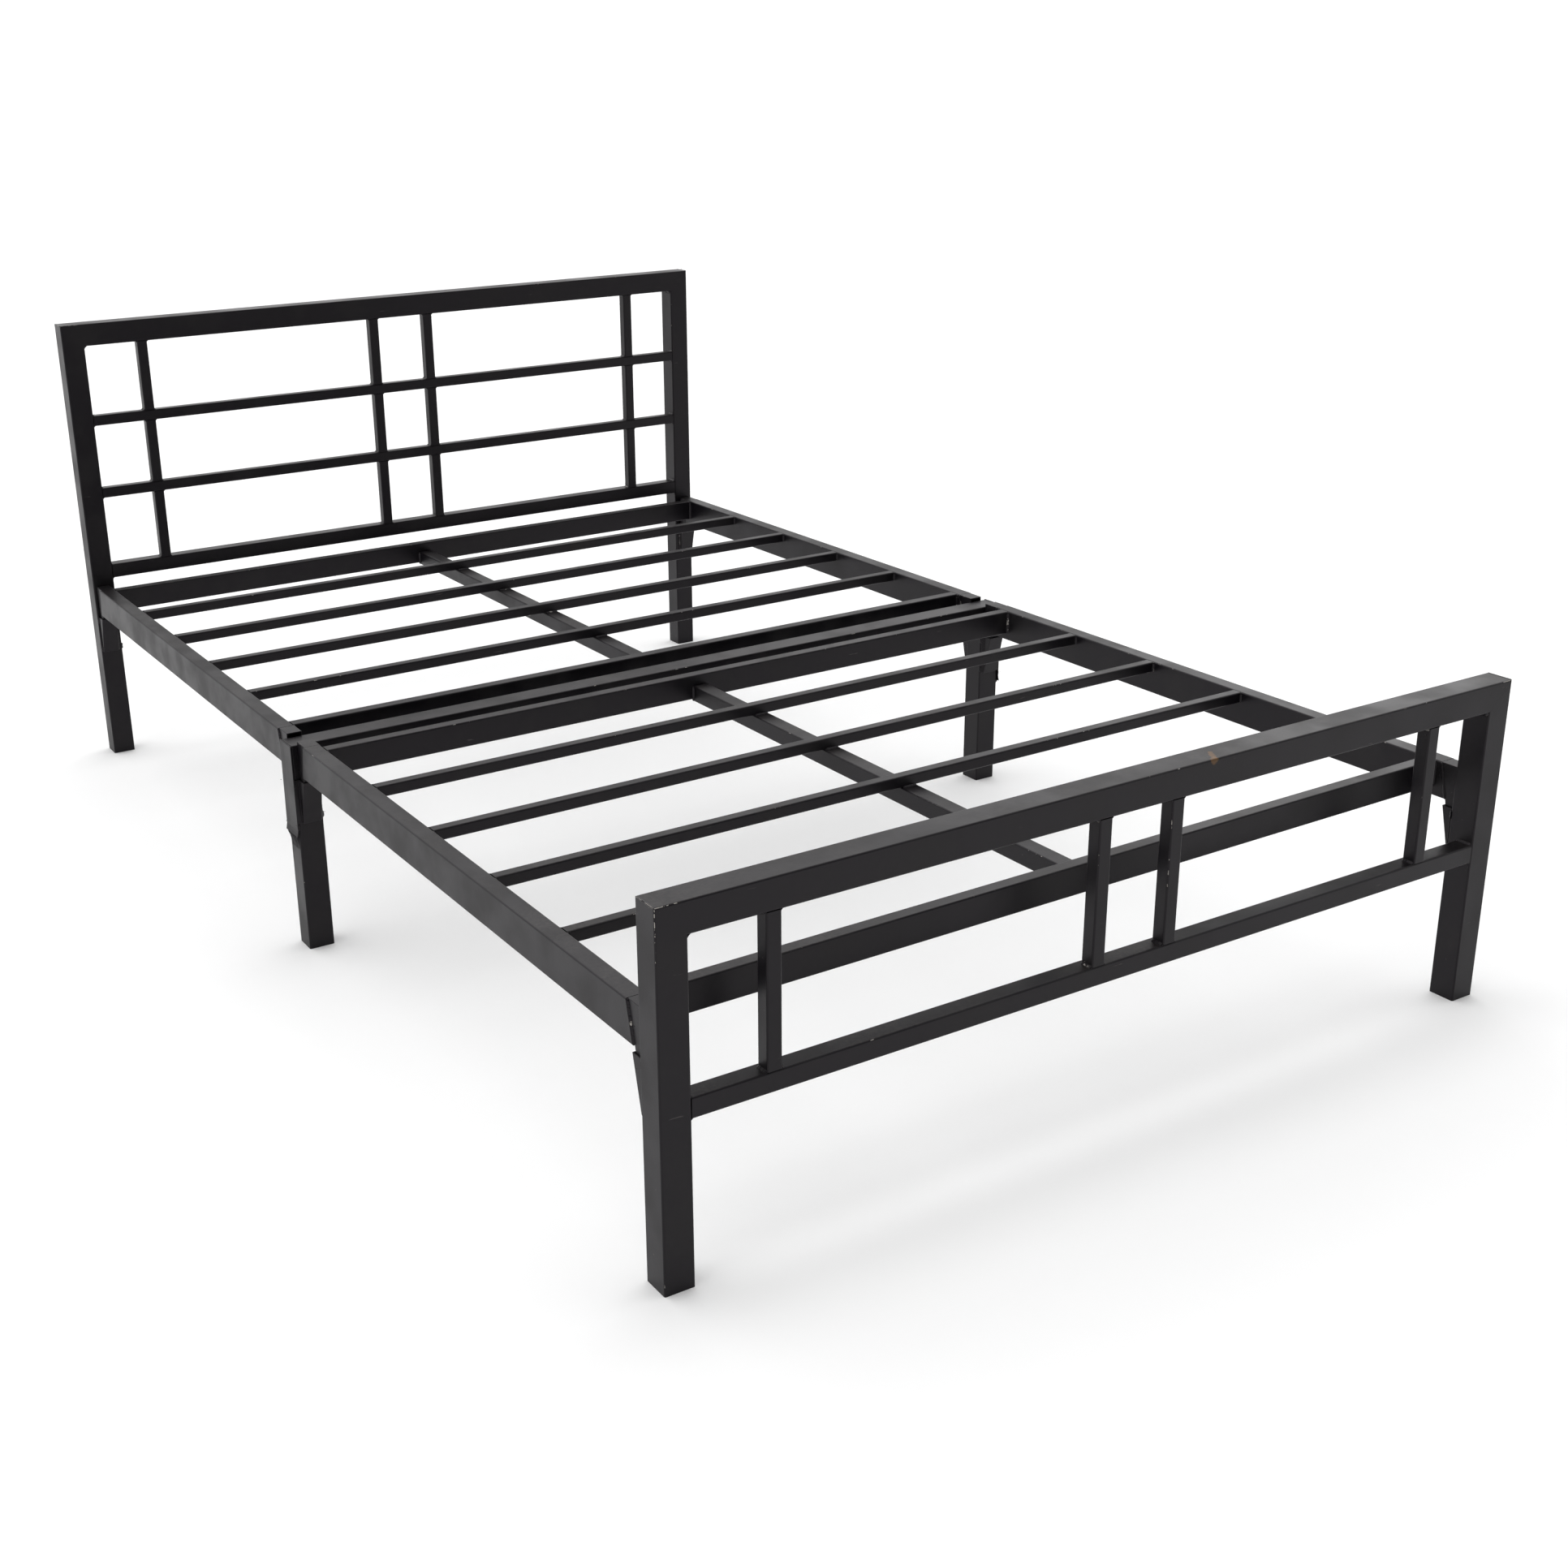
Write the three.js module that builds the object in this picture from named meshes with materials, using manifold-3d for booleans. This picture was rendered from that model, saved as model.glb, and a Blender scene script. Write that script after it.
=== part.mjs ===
// Dismantlable double bed frame in welded square steel tube, in millimetres.
// X runs across the bed, +Y points to the headboard and +Z is up.
// The origin is on the floor under the middle of the bed.
// Headboard, mid leg frame and footboard stand on the floor. Each deck half hangs between
// two of them on four tapered tongues, which drop into tapered sheet pockets on the legs.
import * as THREE from "three";
import { mergeVertices } from "three/addons/utils/BufferGeometryUtils.js";
import Module from "manifold-3d";

const wasm = await Module();
wasm.setup();

// Overall sizes
const BED_WIDTH = 1270; // outside to outside of the end posts
const BED_LENGTH = 2064; // outside to outside of headboard and footboard
const HEAD_HEIGHT = 788;
const FOOT_HEIGHT = 448;
const DECK_TOP = 321; // top of side rails, cross rails and slats
const MID_DROP = 6; // how far the mid leg frame's top lies below the deck's

// Tube stock
const WALL = 1.2;
const CORNER = 2.2; // outside corner radius of every tube
const CORNER_STEPS = 5;
const POST = 38; // square tube of posts, top rails and the mid leg frame
const SIDE_RAIL_WIDTH = 25;
const SIDE_RAIL_HEIGHT = 50;
const CROSS_RAIL_WIDTH = 19;
const CROSS_RAIL_HEIGHT = 38;
const SLAT = 16; // square tube
const CENTRE_RAIL = 25; // square tube
const BOTTOM_RAIL = 25; // square tube, headboard and footboard
const LATTICE_BAR = 18; // square tube, headboard
const FOOT_UPRIGHT = 19; // square tube, footboard

// Headboard and footboard layout
const HEAD_BOTTOM_RAIL_TOP = 358;
const FOOT_BOTTOM_RAIL_TOP = 227;
const OUTER_UPRIGHT_FROM_EDGE = 140; // post's outer face to the centre of the first upright
const UPRIGHT_PAIR_SPACING = 110; // centre to centre of the middle pair
// The middle pair isn't quite central: each is welded this far to the right.
const HEAD_PAIR_SHIFT = 1.5;
const FOOT_PAIR_SHIFT = 6;
const LATTICE_GAP = 111.5; // clear height between the two lattice bars

// Deck layout
const RAIL_INSET = 3; // post's outer face to the side rail's outer face
const END_GAP = 28; // end post to the deck's outer cross rail
const MID_GAP = 36; // mid leg to the deck's inner cross rail
// Cross tubes are placed by hand. Each one's left and right end sit this far, towards the
// head, from its even place: the foot-side cross rail, the slats, the head-side cross rail.
const FOOT_DECK_DRIFT = [[0, 13], [-3, 1], [-2, 1], [-5, 4], [-2, 2], [-5, -6]];
const HEAD_DECK_DRIFT = [[-2, 1], [-1, 3], [1, 3], [2, 6], [2, 6], [-1, 3]];

// Mid leg frame
const MID_OVERHANG = 3; // how far the mid legs stand outside the end posts, each side

// Wedge lock: tongue and pocket
const TONGUE_WIDTH = 22.5;
const TONGUE_SHEET = 2.5;
const TONGUE_TIP_DEPTH = 3.5; // front to back at the lower end
const TONGUE_TAPER = 0.235; // growth in depth per millimetre of height
const POCKET_SHEET = 2;
const POCKET_HEIGHT = 66;
const SADDLE_SKIRT = 20; // how far the sheet round a mid leg's outer face hangs below its pockets
const EAR_EDGE = 1; // the pocket's ear stops short of the post's edge

// Leg plugs
const PLUG_HEIGHT = 18;

// Clearances
const JOIN_GAP = 0.3; // between pieces that are welded or pushed together
const MITRE_GAP = 0.2; // taken off each side of a mitre
const LOCK_PLAY = 0.7; // tongue to pocket, all round
const TONGUE_TO_POST = 0.6;
const RAIL_TO_POCKET = 7; // side rail's underside down to the pocket's mouth
const TONGUE_TO_POCKET_END = 5; // tongue's lower end up from the pocket's lower edge

// Derived places
const HALF_LENGTH = BED_LENGTH / 2;
const HALF_WIDTH = BED_WIDTH / 2;
const RAIL_OUTER_X = HALF_WIDTH - RAIL_INSET;
const RAIL_INNER_X = RAIL_OUTER_X - SIDE_RAIL_WIDTH;
const RAIL_X = RAIL_OUTER_X - SIDE_RAIL_WIDTH / 2;
const LOCK_X = RAIL_INNER_X + TONGUE_WIDTH / 2; // tongue is flush with the rail's inner face
const RAIL_MID_Z = DECK_TOP - SIDE_RAIL_HEIGHT / 2;
const POCKET_TOP = DECK_TOP - SIDE_RAIL_HEIGHT - RAIL_TO_POCKET;
const POCKET_BOTTOM = POCKET_TOP - POCKET_HEIGHT;
const TONGUE_BOTTOM = POCKET_BOTTOM + TONGUE_TO_POCKET_END;
const TAPER_STRETCH = Math.hypot(1, TONGUE_TAPER); // along Y per unit square to the slant
const tongueDepth = (z) => TONGUE_TIP_DEPTH + TONGUE_TAPER * (z - TONGUE_BOTTOM);

// Materials
const powderCoat = new THREE.MeshStandardMaterial({ color: 0x17171a, roughness: 0.5, metalness: 0.2 });
const plugPlastic = new THREE.MeshStandardMaterial({ color: 0x101011, roughness: 0.7, metalness: 0 });

const bed = new THREE.Group();

function addMesh(name, geometry, material = powderCoat) {
  const mesh = new THREE.Mesh(geometry, material);
  mesh.name = name;
  bed.add(mesh);
  return mesh;
}

// A rectangle centred on the origin with its corners rounded by quarter arcs.
function roundedRectangle(width, height, radius) {
  const x = width / 2;
  const y = height / 2;
  const shape = new THREE.Shape();
  shape.absarc(x - radius, y - radius, radius, 0, Math.PI / 2);
  shape.absarc(-x + radius, y - radius, radius, Math.PI / 2, Math.PI);
  shape.absarc(-x + radius, -y + radius, radius, Math.PI, 1.5 * Math.PI);
  shape.absarc(x - radius, -y + radius, radius, 1.5 * Math.PI, 2 * Math.PI);
  return shape;
}

function rectanglePath(width, height) {
  const x = width / 2;
  const y = height / 2;
  return new THREE.Path().moveTo(-x, -y).lineTo(-x, y).lineTo(x, y).lineTo(x, -y).closePath();
}

// Open-ended tube along +Z from 0 to length. Each end can be cut on a slant: its slope
// says how far the cut rises along Z for each millimetre along the section's X and Y.
function tube(width, height, length, { start = [0, 0], end = [0, 0] } = {}) {
  const section = roundedRectangle(width, height, CORNER);
  section.holes.push(rectanglePath(width - 2 * WALL, height - 2 * WALL));
  const geometry = new THREE.ExtrudeGeometry(section, {
    depth: length, bevelEnabled: false, curveSegments: CORNER_STEPS,
  });
  const points = geometry.attributes.position;
  for (let i = 0; i < points.count; i += 1) {
    const [slopeX, slopeY] = points.getZ(i) > length / 2 ? end : start;
    points.setZ(i, points.getZ(i) + slopeX * points.getX(i) + slopeY * points.getY(i));
  }
  return geometry;
}

// Tube along +X from x0 to x1: height is vertical, depth runs along Y.
function tubeAlongX(name, { x0, x1, y, z, height, depth, mitred = false }) {
  const geometry = mitred
    ? tube(height, depth, x1 - x0, { start: [1, 0], end: [-1, 0] })
    : tube(height, depth, x1 - x0);
  const mesh = addMesh(name, geometry);
  mesh.rotation.y = Math.PI / 2;
  mesh.position.set(x0, y, z);
  return mesh;
}

function tubeAlongZ(name, { x, y, z0, z1, width, depth, endSlope = [0, 0] }) {
  const mesh = addMesh(name, tube(width, depth, z1 - z0, { end: endSlope }));
  mesh.position.set(x, y, z0);
  return mesh;
}

// Geometry to solid and back, for the pieces that need a cut or a join.
function toSolid(geometry) {
  const bare = geometry.clone();
  bare.deleteAttribute("normal");
  bare.deleteAttribute("uv");
  const merged = mergeVertices(bare, 1e-4);
  return new wasm.Manifold(new wasm.Mesh({
    numProp: 3,
    vertProperties: new Float32Array(merged.attributes.position.array),
    triVerts: new Uint32Array(merged.index.array),
  }));
}

function toGeometry(solid) {
  const mesh = solid.getMesh();
  const geometry = new THREE.BufferGeometry();
  geometry.setAttribute("position", new THREE.BufferAttribute(mesh.vertProperties, 3));
  geometry.setIndex(new THREE.BufferAttribute(mesh.triVerts, 1));
  geometry.computeVertexNormals();
  return geometry;
}

// Solid block between two corners.
function block([x0, y0, z0], [x1, y1, z1]) {
  const geometry = new THREE.BoxGeometry(x1 - x0, y1 - y0, z1 - z0);
  geometry.translate((x0 + x1) / 2, (y0 + y1) / 2, (z0 + z1) / 2);
  return toSolid(geometry);
}

// Prism across X, centred on x = 0, from a side outline of [distance from leg, height] points.
function sidePrism(outline, width) {
  const shape = new THREE.Shape(outline.map(([u, v]) => new THREE.Vector2(u, v)));
  const geometry = new THREE.ExtrudeGeometry(shape, { depth: width, bevelEnabled: false });
  geometry.translate(0, 0, -width / 2);
  const turn = new THREE.Matrix4().makeBasis(
    new THREE.Vector3(0, 1, 0), new THREE.Vector3(0, 0, 1), new THREE.Vector3(1, 0, 0));
  geometry.applyMatrix4(turn);
  return toSolid(geometry);
}

// Outline that leans with the tongue's front, offset outwards by offset.
function wedgeOutline(near, bottom, top, offset) {
  const front = (z) => tongueDepth(z) + offset * TAPER_STRETCH;
  return [[near, bottom], [front(bottom), bottom], [front(top), top], [near, top]];
}

// Folded sheet wedge, closed on top and open towards the leg.
function tongueSolid() {
  const shell = sidePrism(
    wedgeOutline(TONGUE_TO_POST, TONGUE_BOTTOM, DECK_TOP, 0), TONGUE_WIDTH);
  const innerBottom = TONGUE_BOTTOM + (TONGUE_SHEET * TAPER_STRETCH) / TONGUE_TAPER;
  const hollow = sidePrism(
    wedgeOutline(-1, innerBottom, DECK_TOP - TONGUE_SHEET, -TONGUE_SHEET),
    TONGUE_WIDTH - 2 * TONGUE_SHEET);
  return shell.subtract(hollow);
}

// Folded sheet pocket on a leg face at y = 0, open at top and bottom. Its ears lie on the
// leg's face and reach from x = earFrom to x = earTo.
function pocketSolid(earFrom, earTo) {
  const outer = sidePrism(
    wedgeOutline(JOIN_GAP, POCKET_BOTTOM, POCKET_TOP, LOCK_PLAY + POCKET_SHEET),
    TONGUE_WIDTH + 2 * (LOCK_PLAY + POCKET_SHEET));
  const ears = block([earFrom, JOIN_GAP, POCKET_BOTTOM], [earTo, JOIN_GAP + POCKET_SHEET, POCKET_TOP]);
  const mouth = sidePrism(
    wedgeOutline(-1, POCKET_BOTTOM - 1, POCKET_TOP + 1, LOCK_PLAY), TONGUE_WIDTH + 2 * LOCK_PLAY);
  return outer.add(ears).subtract(mouth);
}

// Every wedge lock stands at a side (-1 left, 1 right) on a leg face that looks along
// facing (-1 to the foot, 1 to the head). Facing the foot, the pieces are turned half round.
function placeLock(mesh, side, faceY, facing) {
  mesh.rotation.z = facing > 0 ? 0 : Math.PI;
  mesh.position.set(side * LOCK_X, faceY, 0);
}

function sideName(side) {
  return side < 0 ? "left" : "right";
}

function addTongue(name, side, faceY, facing) {
  placeLock(addMesh(name, toGeometry(tongueSolid())), side, faceY, facing);
}

// Pocket of an end post: one ear, on the inner side.
function addPocket(name, side, faceY, facing) {
  const innerWay = -side * facing;
  const pocketEdge = TONGUE_WIDTH / 2;
  const earReach = LOCK_X - (HALF_WIDTH - POST + EAR_EDGE);
  const ear = [innerWay * pocketEdge, innerWay * earReach].sort((a, b) => a - b);
  placeLock(addMesh(name, toGeometry(pocketSolid(ear[0], ear[1]))), side, faceY, facing);
}

// Sheet saddle of a mid leg: a pocket on each face, joined round the leg's outer face by a
// plate that covers the whole end of the mid leg frame.
function addSaddle(name, side) {
  const legOuter = HALF_WIDTH + MID_OVERHANG;
  const face = POST / 2;
  const wrapInner = legOuter + JOIN_GAP;
  const wrapOuter = wrapInner + POCKET_SHEET;
  const innerEar = LOCK_X - (legOuter - POST + EAR_EDGE);
  const outerEar = wrapOuter - LOCK_X;
  const along = face + JOIN_GAP + POCKET_SHEET;
  const leftToRight = side < 0 ? [-outerEar, innerEar] : [-innerEar, outerEar];
  const headPocket = pocketSolid(leftToRight[0], leftToRight[1])
    .translate([side * LOCK_X, face, 0]);
  const footPocket = pocketSolid(-leftToRight[1], -leftToRight[0])
    .rotate([0, 0, 180]).translate([side * LOCK_X, -face, 0]);
  const wrapX = [side * wrapInner, side * wrapOuter].sort((a, b) => a - b);
  const wrap = block(
    [wrapX[0], -along, POCKET_BOTTOM - SADDLE_SKIRT], [wrapX[1], along, DECK_TOP - MID_DROP]);
  addMesh(name, toGeometry(headPocket.add(footPocket).add(wrap)));
}

// Plastic plug pushed into a leg until it is flush with the leg's lower end.
function addPlug(name, x, y) {
  const side = POST - 2 * (WALL + JOIN_GAP);
  const geometry = new THREE.BoxGeometry(side, side, PLUG_HEIGHT);
  addMesh(name, geometry, plugPlastic).position.set(x, y, PLUG_HEIGHT / 2);
}

// Two legs and a top tube, mitred where they meet, with a plug in each leg.
function addPortal(prefix, { legName, topName, outerX, y, top }) {
  const legX = outerX - POST / 2;
  for (const side of [-1, 1]) {
    tubeAlongZ(`${prefix}_${legName}_${sideName(side)}`, {
      x: side * legX, y, z0: 0, z1: top - POST / 2 - MITRE_GAP,
      width: POST, depth: POST, endSlope: [side, 0],
    });
    addPlug(`${prefix}_plug_${sideName(side)}`, side * legX, y);
  }
  tubeAlongX(`${prefix}_${topName}`, {
    x0: -legX + MITRE_GAP, x1: legX - MITRE_GAP, y, z: top - POST / 2,
    height: POST, depth: POST, mitred: true,
  });
}

// Bottom rail between the posts, flush with their foot-side face.
function addBottomRail(prefix, frontY, top) {
  const reach = HALF_WIDTH - POST - JOIN_GAP;
  tubeAlongX(`${prefix}_bottom_rail`, {
    x0: -reach, x1: reach, y: frontY + BOTTOM_RAIL / 2, z: top - BOTTOM_RAIL / 2,
    height: BOTTOM_RAIL, depth: BOTTOM_RAIL,
  });
}

// One upright near each post and a pair at the middle.
function uprightPlaces(pairShift) {
  const outer = HALF_WIDTH - OUTER_UPRIGHT_FROM_EDGE;
  const half = UPRIGHT_PAIR_SPACING / 2;
  return [-outer, pairShift - half, pairShift + half, outer];
}

// Heights of the two lattice bars, evenly placed about the middle of the opening.
function latticeHeights() {
  const middle = (HEAD_BOTTOM_RAIL_TOP + HEAD_HEIGHT - POST) / 2;
  const offset = (LATTICE_GAP + LATTICE_BAR) / 2;
  return { lower: middle - offset, upper: middle + offset };
}

// Lattice in one plane: where two bars cross, each is notched to half its depth. The
// level bar keeps its foot-side half, the upright its head-side half.
function addLattice(frontY) {
  const bar = LATTICE_BAR;
  const centreY = frontY + bar / 2;
  const reach = HALF_WIDTH - POST - JOIN_GAP;
  const bottom = HEAD_BOTTOM_RAIL_TOP + JOIN_GAP;
  const top = HEAD_HEIGHT - POST - JOIN_GAP;
  const places = uprightPlaces(HEAD_PAIR_SHIFT);
  const heights = latticeHeights();
  const notch = bar / 2 + JOIN_GAP;

  for (const [name, z] of Object.entries(heights)) {
    const level = tube(bar, bar, 2 * reach);
    level.rotateY(Math.PI / 2);
    level.translate(-reach, centreY, z);
    let solid = toSolid(level);
    for (const x of places) {
      solid = solid.subtract(block([x - notch, centreY, z - bar], [x + notch, centreY + bar, z + bar]));
    }
    addMesh(`headboard_${name}_bar`, toGeometry(solid));
  }

  places.forEach((x, index) => {
    const upright = tube(bar, bar, top - bottom);
    upright.translate(x, centreY, bottom);
    let solid = toSolid(upright);
    for (const z of Object.values(heights)) {
      solid = solid.subtract(
        block([x - bar, centreY - bar, z - notch], [x + bar, centreY + JOIN_GAP, z + notch]));
    }
    addMesh(`headboard_upright_${index + 1}`, toGeometry(solid));
  });
}

function addFootUprights(frontY) {
  uprightPlaces(FOOT_PAIR_SHIFT).forEach((x, index) => {
    tubeAlongZ(`footboard_upright_${index + 1}`, {
      x, y: frontY + FOOT_UPRIGHT / 2,
      z0: FOOT_BOTTOM_RAIL_TOP + JOIN_GAP, z1: FOOT_HEIGHT - POST - JOIN_GAP,
      width: FOOT_UPRIGHT, depth: FOOT_UPRIGHT,
    });
  });
}

// Side rail between two leg faces, its ends cut to the slant of the tongues.
function addSideRail(name, side, fromY, toY) {
  const endGap = tongueDepth(RAIL_MID_Z) + JOIN_GAP * TAPER_STRETCH;
  const slope = TONGUE_TAPER;
  const mesh = addMesh(name, tube(
    SIDE_RAIL_WIDTH, SIDE_RAIL_HEIGHT, toY - fromY - 2 * endGap,
    { start: [0, -slope], end: [0, slope] }));
  mesh.rotation.x = -Math.PI / 2;
  mesh.position.set(side * RAIL_X, fromY + endGap, RAIL_MID_Z);
}

// Tube across the deck whose left and right ends lie at y + drift[0] and y + drift[1].
function addCrossTube(name, y, drift, height, depth) {
  const reach = RAIL_INNER_X - JOIN_GAP;
  const angle = Math.atan2(drift[1] - drift[0], 2 * reach);
  const cornerReach = Math.abs(depth * Math.sin(angle)) / 2; // an end corner past the end's middle
  const mesh = addMesh(name, tube(height, depth, 2 * (reach - cornerReach) / Math.cos(angle)));
  mesh.rotation.order = "ZYX";
  mesh.rotation.y = Math.PI / 2;
  mesh.rotation.z = angle;
  mesh.position.set(
    cornerReach - reach, y + drift[0] + cornerReach * Math.tan(angle), DECK_TOP - height / 2);
}

// One half of the deck, hung between the leg faces at fromY and toY.
function addDeck(prefix, { fromY, toY, fromGap, toGap, fromEnd, toEnd, drift }) {
  for (const side of [-1, 1]) {
    addSideRail(`${prefix}_side_rail_${sideName(side)}`, side, fromY, toY);
    addTongue(`${prefix}_${fromEnd}_tongue_${sideName(side)}`, side, fromY, 1);
    addTongue(`${prefix}_${toEnd}_tongue_${sideName(side)}`, side, toY, -1);
  }
  const firstY = fromY + fromGap + CROSS_RAIL_WIDTH / 2;
  const lastY = toY - toGap - CROSS_RAIL_WIDTH / 2;
  const [fromDrift, ...slatDrifts] = drift;
  const toDrift = slatDrifts.pop();
  addCrossTube(
    `${prefix}_${fromEnd}_cross_rail`, firstY, fromDrift, CROSS_RAIL_HEIGHT, CROSS_RAIL_WIDTH);
  addCrossTube(
    `${prefix}_${toEnd}_cross_rail`, lastY, toDrift, CROSS_RAIL_HEIGHT, CROSS_RAIL_WIDTH);
  const pitch = (lastY - firstY) / (slatDrifts.length + 1);
  slatDrifts.forEach((slatDrift, index) => {
    addCrossTube(`${prefix}_slat_${index + 1}`, firstY + (index + 1) * pitch, slatDrift, SLAT, SLAT);
  });
  // The centre rail's square end meets a cross rail that may lean, so its nearer corner sets the gap.
  const middle = ([left, right]) => (left + right) / 2;
  const leanAcross = ([left, right]) => (Math.abs(right - left) / RAIL_INNER_X) * (CENTRE_RAIL / 4);
  const fromCross = CROSS_RAIL_WIDTH / 2 + JOIN_GAP;
  const railFrom = firstY + middle(fromDrift) + fromCross + leanAcross(fromDrift);
  const railTo = lastY + middle(toDrift) - fromCross - leanAcross(toDrift);
  const centreRail = addMesh(
    `${prefix}_centre_rail`, tube(CENTRE_RAIL, CENTRE_RAIL, railTo - railFrom));
  centreRail.rotation.x = -Math.PI / 2;
  centreRail.position.set(0, railFrom, DECK_TOP - SLAT - JOIN_GAP - CENTRE_RAIL / 2);
}

// Headboard, footboard and mid leg frame
const headFace = HALF_LENGTH - POST; // the headboard's foot-side face
const footFace = -headFace;
addPortal("headboard", {
  legName: "post", topName: "top_rail", outerX: HALF_WIDTH, y: HALF_LENGTH - POST / 2, top: HEAD_HEIGHT,
});
addBottomRail("headboard", headFace, HEAD_BOTTOM_RAIL_TOP);
addLattice(headFace);
addPortal("footboard", {
  legName: "post", topName: "top_rail", outerX: HALF_WIDTH, y: -HALF_LENGTH + POST / 2, top: FOOT_HEIGHT,
});
addBottomRail("footboard", -HALF_LENGTH, FOOT_BOTTOM_RAIL_TOP);
addFootUprights(-HALF_LENGTH);
addPortal("mid_frame", {
  legName: "leg", topName: "cross_tube", outerX: HALF_WIDTH + MID_OVERHANG, y: 0, top: DECK_TOP - MID_DROP,
});
for (const side of [-1, 1]) {
  addPocket(`headboard_pocket_${sideName(side)}`, side, headFace, -1);
  addPocket(`footboard_pocket_${sideName(side)}`, side, footFace, 1);
  addSaddle(`mid_frame_saddle_${sideName(side)}`, side);
}

// Deck halves
addDeck("foot_deck", {
  fromY: footFace, toY: -POST / 2, fromGap: END_GAP, toGap: MID_GAP,
  fromEnd: "outer", toEnd: "mid", drift: FOOT_DECK_DRIFT,
});
addDeck("head_deck", {
  fromY: POST / 2, toY: headFace, fromGap: MID_GAP, toGap: END_GAP,
  fromEnd: "mid", toEnd: "outer", drift: HEAD_DECK_DRIFT,
});

export default bed;
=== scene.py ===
"""Looks of a welded, powder-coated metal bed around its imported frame."""

import math
import random

import bmesh
import bpy
from bpy.props import FloatProperty, FloatVectorProperty, IntProperty, PointerProperty
from mathutils import Matrix, Vector


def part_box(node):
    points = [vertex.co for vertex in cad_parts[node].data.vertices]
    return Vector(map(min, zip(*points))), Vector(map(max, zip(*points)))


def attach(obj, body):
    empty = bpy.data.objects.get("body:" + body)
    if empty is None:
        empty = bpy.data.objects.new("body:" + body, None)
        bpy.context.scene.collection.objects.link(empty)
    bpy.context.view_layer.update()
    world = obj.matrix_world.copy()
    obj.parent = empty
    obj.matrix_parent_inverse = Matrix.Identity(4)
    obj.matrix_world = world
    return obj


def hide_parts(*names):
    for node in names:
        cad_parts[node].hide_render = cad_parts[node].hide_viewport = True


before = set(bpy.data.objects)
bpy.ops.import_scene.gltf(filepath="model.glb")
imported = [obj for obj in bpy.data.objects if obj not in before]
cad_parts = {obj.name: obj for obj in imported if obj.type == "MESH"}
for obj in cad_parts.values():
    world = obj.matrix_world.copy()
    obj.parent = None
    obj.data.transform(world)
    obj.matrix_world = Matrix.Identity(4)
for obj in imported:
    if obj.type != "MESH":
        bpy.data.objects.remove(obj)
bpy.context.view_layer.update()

bl_info = {
    "name": "Metal Bed Frame",
    "version": (1, 0, 0),
    "blender": (4, 5, 0),
    "location": "3D View > Sidebar > Bed",
    "description": "Finishes a welded square-tube bed: coat, folded locks, welds and stage",
    "category": "Object",
}

MM = 0.001

# Finishes
COAT_HEX = "#0d0b0f"
COAT_MOTTLE_HEX = "#171617"
DUST_HEX = "#8d8780"
SCUFF_HEX = "#5c5855"
# Light grey of chips along the arrises, which also stands as a painted highlight on the rounded
# corners
CHIP_AND_HIGHLIGHT_HEX = "#a5a19b"
RUST_HEX = "#7d5a2e"
PLUG_HEX = "#0f0f10"
FLOOR_HEX = "#fafafa"

# Stage
CAMERA_PLACE = (-1.500, -2.554, 1.243)
CAMERA_TURN = (69.42, 1.17, -31.12)  # degrees about X, Y and Z: pitch, roll and heading
CAMERA_LENS = 45.4
CAMERA_SENSOR = 36.0
CAMERA_SHIFT = (0.0634, -0.0058)

CEILING_PLACE = (-0.4, 1.2, 3.0)
CEILING_SPREAD = 80  # degrees across, which makes its shadows very soft
BOX_PLACE = (-3.6, -0.8, 1.8)
BOX_SIZE = (2.4, 4.0)
LIT_POINT = (0, 0, 0.3)  # the middle of the bed, where the lamps aim
BRIGHT_SIDE = (0.10, 0.93, 0.35)  # the direction towards which the studio brightens
STUDIO_STRENGTH = (0.06, 1.12)  # at its dim and its bright side
RIGHT_BOOST = 1.8  # how much brighter it is far to the right

# Pieces of the frame
SIDES = (("left", -1), ("right", 1))
# Each deck half's ends: the one nearer the foot, then the one nearer the head
DECK_ENDS = {"foot_deck": ("outer", "mid"), "head_deck": ("mid", "outer")}
SLATS = 4  # in each deck half
UPRIGHTS = 4  # in each board
LOCK_WORDS = ("_tongue_", "_pocket_", "_saddle_")
ROOT = "standing_frames"
RAIL_HEIGHT = 50 * MM
TONGUE_TIP = 3.5 * MM
TUBE_CORNER = 2.2 * MM
SHEET = 2.0 * MM
LOCK_PLAY = 0.7 * MM

# Saddle lips, with heights above the saddle's lowest edge
LIP_HEIGHT = 7 * MM
LIP_CUT_HEIGHTS = (5 * MM, 9 * MM)
LIP_CUT_PLACES = (-8 * MM, 6 * MM)
LIP_BEND = 2.4 * MM
LIP_TWIST = 18 * MM  # more bend for each metre towards the head
LIP_SLANT = 25 * MM  # rise for each metre towards the head

# Welds
JOIN_GAP = 0.3 * MM
BEAD_END = 0.8 * MM
TONGUE_LEG = 2.2 * MM
CHANNEL_LEG = 3.2 * MM
TACK_LEG = 2.4 * MM
SMALL_TACK_LEG = 1.6 * MM
POCKET_TACK = 11 * MM
SADDLE_TACK = 10 * MM
SMALL_TACK = 9 * MM
LIP_BEAD_OUT = 3 * MM
LIP_BEAD_ASKEW = 2 * MM
EDGE_BEAD = 1.2 * MM  # half the width of the bead along a mitre's outer edge
EDGE_SINK = 0.45 * MM  # how deep its middle lies inside the corner
MITRE_WELD = 0.6 * MM  # height of the weld between two mitred tubes
DRESSED = 0.03 * MM  # how far a ground weld lies below the tubes' faces
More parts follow.
